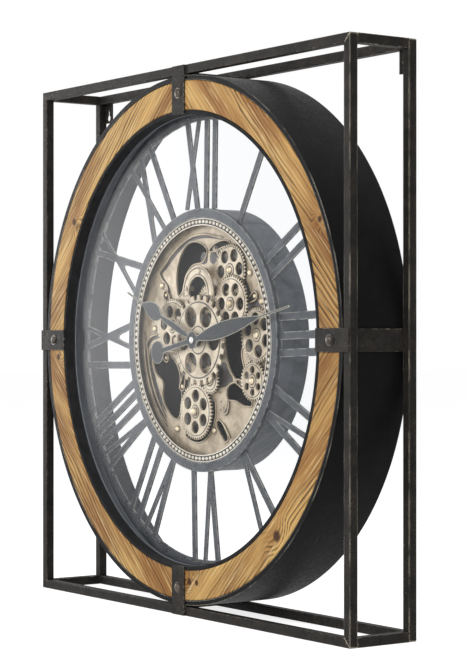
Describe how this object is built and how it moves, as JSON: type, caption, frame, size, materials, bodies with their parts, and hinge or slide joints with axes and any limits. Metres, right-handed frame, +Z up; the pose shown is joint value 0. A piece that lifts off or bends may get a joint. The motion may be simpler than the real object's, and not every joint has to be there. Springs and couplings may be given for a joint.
{
  "type": "gear clock",
  "caption": "Square box frame wall clock with a round drum, wooden bezel, skeleton Roman dial and a turning gear train behind glass.",
  "frame": {"origin": "under the middle of the clock, on the surface that its lower bars would stand on", "axes": "+Z up, +Y to the rear, towards the wall; the dial faces -Y; +X to the right as seen from the front"},
  "size_m": [0.6, 0.09, 0.6],
  "materials": {
    "frame_steel": "charcoal black paint rubbed back on the edges",
    "screw_steel": "charcoal black domed heads with rubbed crowns",
    "drum_steel": "satin black paint",
    "glass": "clear flat glass",
    "bezel_wood": "oiled fir with dark grain",
    "dial_steel": "slate grey, brushed, worn edges",
    "housing_steel": "slate grey, brushed",
    "gear_gold": "antique pale gold with dark patina in the recesses",
    "hand_steel": "slate grey with cream worn edges",
    "nut_brass": "pale polished dome",
    "arbor_steel": "turned steel",
    "black_plastic": "fine textured black moulding",
    "cell_jacket": "plain printed jacket with bare ends",
    "switch_plastic": "light grey moulding"
  },
  "bodies": {
    "case": {"front_bar_top": "frame_steel", "front_bar_right": "frame_steel", "front_bar_bottom": "frame_steel", "front_bar_left": "frame_steel", "rear_bar_top": "frame_steel", "rear_bar_right": "frame_steel", "rear_bar_bottom": "frame_steel", "rear_bar_left": "frame_steel", "corner_strut_lower_left": "frame_steel", "corner_strut_upper_left": "frame_steel", "corner_strut_lower_right": "frame_steel", "corner_strut_upper_right": "frame_steel", "side_plate_top": "frame_steel", "side_plate_right": "frame_steel", "side_plate_bottom": "frame_steel", "side_plate_left": "frame_steel", "hanger_left": "frame_steel", "hanger_right": "frame_steel", "strap_top": "frame_steel", "strap_right": "frame_steel", "strap_bottom": "frame_steel", "strap_left": "frame_steel", "strap_screw_top": "screw_steel", "strap_screw_right": "screw_steel", "strap_screw_bottom": "screw_steel", "strap_screw_left": "screw_steel", "drum": "drum_steel", "bezel_tray": "drum_steel", "glass": "glass", "glass_retainer": "drum_steel", "wood_top_right": "bezel_wood", "wood_bottom_right": "bezel_wood", "wood_bottom_left": "bezel_wood", "wood_top_left": "bezel_wood", "dial": "dial_steel", "gear_housing": "housing_steel", "module_back": "housing_steel", "gear_plate": "gear_gold", "bead_ring": "gear_gold", "arch_bridge": "gear_gold", "movement": "black_plastic", "movement_cell": "cell_jacket", "gear_drive": "black_plastic", "drive_cell_1": "cell_jacket", "drive_cell_2": "cell_jacket"},
    "centre_wheel": {"centre_wheel": "gear_gold"},
    "left_wheel": {"left_wheel": "gear_gold"},
    "lower_idler": {"lower_idler": "gear_gold"},
    "lower_wheel": {"lower_wheel": "gear_gold"},
    "upper_idler": {"upper_idler": "gear_gold"},
    "upper_wheel": {"upper_wheel": "gear_gold"},
    "right_wheel": {"right_wheel": "gear_gold"},
    "small_wheel": {"small_wheel": "gear_gold"},
    "top_wheel": {"top_wheel": "gear_gold"},
    "minute_hand": {"minute_hand": "hand_steel", "hand_nut": "nut_brass", "minute_arbor": "arbor_steel"},
    "hour_hand": {"hour_hand": "hand_steel"},
    "setting_knob": {"setting_knob": "black_plastic"},
    "drive_switch": {"drive_switch": "switch_plastic"}
  },
  "joints": [
    {"name": "centre_wheel_spin", "type": "hinge", "parent": "case", "child": "centre_wheel", "pos_m": [0, -0.01, 0.3], "axis": [0, 1, 0], "continuous": true},
    {"name": "left_wheel_spin", "type": "hinge", "parent": "case", "child": "left_wheel", "pos_m": [-0.05902, -0.01, 0.31526], "axis": [0, 1, 0], "continuous": true},
    {"name": "lower_idler_spin", "type": "hinge", "parent": "case", "child": "lower_idler", "pos_m": [0.01549, -0.01, 0.25698], "axis": [0, 1, 0], "continuous": true},
    {"name": "lower_wheel_spin", "type": "hinge", "parent": "case", "child": "lower_wheel", "pos_m": [-0.01272, -0.01, 0.221], "axis": [0, 1, 0], "continuous": true},
    {"name": "upper_idler_spin", "type": "hinge", "parent": "case", "child": "upper_idler", "pos_m": [0.00943, -0.01, 0.34474], "axis": [0, 1, 0], "continuous": true},
    {"name": "upper_wheel_spin", "type": "hinge", "parent": "case", "child": "upper_wheel", "pos_m": [0.05482, -0.01, 0.33925], "axis": [0, 1, 0], "continuous": true},
    {"name": "right_wheel_spin", "type": "hinge", "parent": "case", "child": "right_wheel", "pos_m": [0.10325, -0.01, 0.30546], "axis": [0, 1, 0], "continuous": true},
    {"name": "small_wheel_spin", "type": "hinge", "parent": "case", "child": "small_wheel", "pos_m": [0.0955, -0.01, 0.25654], "axis": [0, 1, 0], "continuous": true},
    {"name": "top_wheel_spin", "type": "hinge", "parent": "case", "child": "top_wheel", "pos_m": [0.04963, -0.01, 0.37571], "axis": [0, 1, 0], "continuous": true},
    {"name": "minute_hand_turn", "type": "hinge", "parent": "case", "child": "minute_hand", "pos_m": [0, -0.02, 0.3], "axis": [0, 1, 0], "continuous": true},
    {"name": "hour_hand_turn", "type": "hinge", "parent": "case", "child": "hour_hand", "pos_m": [0, -0.02, 0.3], "axis": [0, 1, 0], "continuous": true},
    {"name": "setting_knob_turn", "type": "hinge", "parent": "case", "child": "setting_knob", "pos_m": [0, 0.027, 0.314], "axis": [0, 1, 0], "continuous": true},
    {"name": "drive_switch_slide", "type": "slide", "parent": "case", "child": "drive_switch", "axis": [1, 0, 0], "range_m": [0, 0.004]}
  ],
  "couplings": [
    {"joint": "left_wheel_spin", "follows": "centre_wheel_spin", "ratio": -1},
    {"joint": "lower_idler_spin", "follows": "centre_wheel_spin", "ratio": -2},
    {"joint": "lower_wheel_spin", "follows": "centre_wheel_spin", "ratio": 1},
    {"joint": "upper_idler_spin", "follows": "centre_wheel_spin", "ratio": -2},
    {"joint": "upper_wheel_spin", "follows": "centre_wheel_spin", "ratio": 1},
    {"joint": "right_wheel_spin", "follows": "centre_wheel_spin", "ratio": -1.0667},
    {"joint": "small_wheel_spin", "follows": "centre_wheel_spin", "ratio": 1.4545},
    {"joint": "top_wheel_spin", "follows": "centre_wheel_spin", "ratio": -0.31818},
    {"joint": "hour_hand_turn", "follows": "minute_hand_turn", "ratio": 0.083333},
    {"joint": "setting_knob_turn", "follows": "minute_hand_turn", "ratio": -1}
  ]
}
